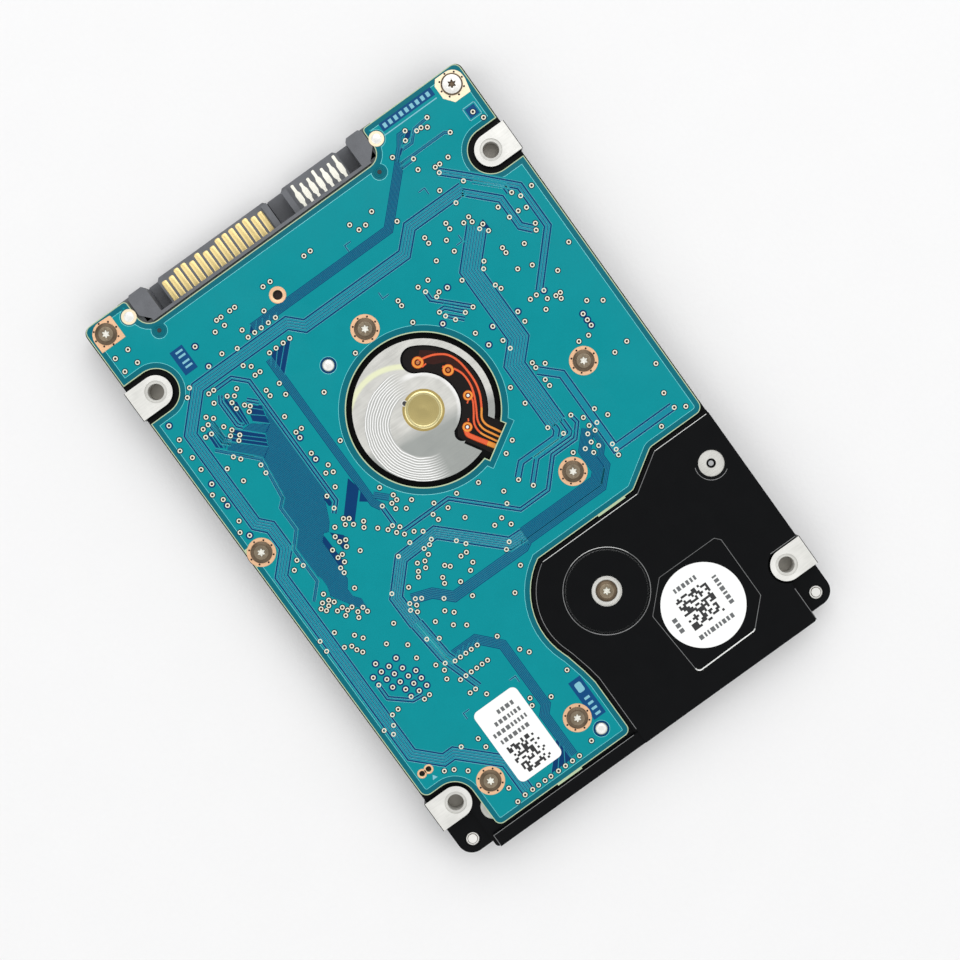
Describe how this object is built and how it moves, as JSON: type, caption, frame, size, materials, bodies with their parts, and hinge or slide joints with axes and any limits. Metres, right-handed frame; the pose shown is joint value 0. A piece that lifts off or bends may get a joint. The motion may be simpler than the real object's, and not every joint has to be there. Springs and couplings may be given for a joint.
{
  "type": "hard disk drive",
  "caption": "Slim 2.5-inch hard disk drive with an exposed circuit board and serial connector; platter, head arm and shock latch move inside.",
  "frame": {"origin": "middle of the cover's outer face, at the centre of the bounding box's base", "axes": "+Z out of the circuit board side, +Y towards the serial connector, +X to the right seen from the board side"},
  "size_m": [0.0698, 0.1002, 0.007],
  "materials": {
    "base_casting": "satin black coating over die-cast aluminium, machined bare at the pads",
    "top_cover": "stamped, fine satin",
    "cover_gasket": "matt",
    "cover_screws": "nickel plated",
    "pivot_screws": "nickel plated",
    "cover_label": "semi-gloss",
    "breather_filter": "felt",
    "circuit_board": "teal solder mask over glass-fibre laminate",
    "board_screws": "nickel plated",
    "board_label": "matt",
    "locating_pins": "polished",
    "controller_chip": "moulded epoxy",
    "memory_chip": "moulded epoxy",
    "motor_driver_chip": "moulded epoxy",
    "flash_chip": "moulded epoxy",
    "power_inductors": "ferrite",
    "chip_capacitors": "semi-gloss",
    "shock_sensors": "semi-gloss",
    "insulator_sheet": "polyimide film",
    "seal_label": "matt",
    "sata_housing": "moulded, glass filled",
    "sata_power_contacts": "gold plated",
    "sata_signal_contacts": "gold plated",
    "connector_posts": "tinned",
    "motor_flex_circuit": "polyimide with copper tracks",
    "bearing_sleeve": "turned bronze",
    "sleeve_end_cap": "turned",
    "stator_core": "laminated",
    "stator_coils": "enamelled copper wire",
    "spindle_shaft": "ground",
    "spindle_hub": "turned",
    "rotor_magnet": "bonded magnet",
    "platter": "polished",
    "platter_clamp": "satin",
    "clamp_screw": "nickel plated",
    "pivot_shaft": "ground",
    "pivot_inner_rings": "ground",
    "pivot_balls": "polished",
    "pivot_sleeve": "ground",
    "actuator_arm": "machined",
    "voice_coil": "enamelled copper wire",
    "coil_overmold": "moulded",
    "head_suspensions": "etched",
    "head_sliders": "polished",
    "preamp_chip": "moulded epoxy",
    "head_flex_circuit": "polyimide film",
    "flex_bracket": "moulded",
    "flex_header": "moulded",
    "small_screws": "nickel plated",
    "upper_yoke": "nickel plated",
    "lower_yoke": "nickel plated",
    "upper_magnet": "nickel plated",
    "lower_magnet": "nickel plated",
    "yoke_screws": "nickel plated",
    "load_ramp": "low-friction moulding",
    "actuator_latch": "moulded",
    "latch_pin": "ground",
    "crash_stops": "matt",
    "recirculation_filter": "felt",
    "desiccant_pouch": "woven"
  },
  "bodies": {
    "chassis": {"base_casting": "base_casting", "top_cover": "top_cover", "cover_gasket": "cover_gasket", "cover_screws": "cover_screws", "pivot_screws": "pivot_screws", "cover_label": "cover_label", "breather_filter": "breather_filter", "circuit_board": "circuit_board", "board_screws": "board_screws", "board_label": "board_label", "locating_pins": "locating_pins", "controller_chip": "controller_chip", "memory_chip": "memory_chip", "motor_driver_chip": "motor_driver_chip", "flash_chip": "flash_chip", "power_inductors": "power_inductors", "chip_capacitors": "chip_capacitors", "shock_sensors": "shock_sensors", "insulator_sheet": "insulator_sheet", "seal_label": "seal_label", "sata_housing": "sata_housing", "sata_power_contacts": "sata_power_contacts", "sata_signal_contacts": "sata_signal_contacts", "connector_posts": "connector_posts", "motor_flex_circuit": "motor_flex_circuit", "bearing_sleeve": "bearing_sleeve", "sleeve_end_cap": "sleeve_end_cap", "stator_core": "stator_core", "stator_coils": "stator_coils", "pivot_shaft": "pivot_shaft", "pivot_inner_rings": "pivot_inner_rings", "pivot_balls": "pivot_balls", "head_flex_circuit": "head_flex_circuit", "flex_bracket": "flex_bracket", "flex_header": "flex_header", "small_screws": "small_screws", "upper_yoke": "upper_yoke", "lower_yoke": "lower_yoke", "upper_magnet": "upper_magnet", "lower_magnet": "lower_magnet", "yoke_screws": "yoke_screws", "load_ramp": "load_ramp", "latch_pin": "latch_pin", "crash_stops": "crash_stops", "recirculation_filter": "recirculation_filter", "desiccant_pouch": "desiccant_pouch"},
    "spindle_rotor": {"spindle_shaft": "spindle_shaft", "spindle_hub": "spindle_hub", "rotor_magnet": "rotor_magnet", "platter": "platter", "platter_clamp": "platter_clamp", "clamp_screw": "clamp_screw"},
    "head_actuator": {"pivot_sleeve": "pivot_sleeve", "actuator_arm": "actuator_arm", "voice_coil": "voice_coil", "coil_overmold": "coil_overmold", "head_suspensions": "head_suspensions", "head_sliders": "head_sliders", "preamp_chip": "preamp_chip"},
    "shock_latch": {"actuator_latch": "actuator_latch"}
  },
  "joints": [
    {"name": "spindle_spin", "type": "hinge", "parent": "chassis", "child": "spindle_rotor", "pos_m": [0, 0.01055, 0.003], "axis": [0, 0, 1], "continuous": true},
    {"name": "actuator_swing", "type": "hinge", "parent": "chassis", "child": "head_actuator", "pos_m": [0.00645, -0.0278, 0.003], "axis": [0, 0, -1], "range_deg": [0, 33.5], "deforming": ["head_flex_circuit"]},
    {"name": "latch_close", "type": "hinge", "parent": "chassis", "child": "shock_latch", "pos_m": [0.0305, -0.0213, 0.003], "axis": [0, 0, -1], "range_deg": [0, 12]}
  ]
}
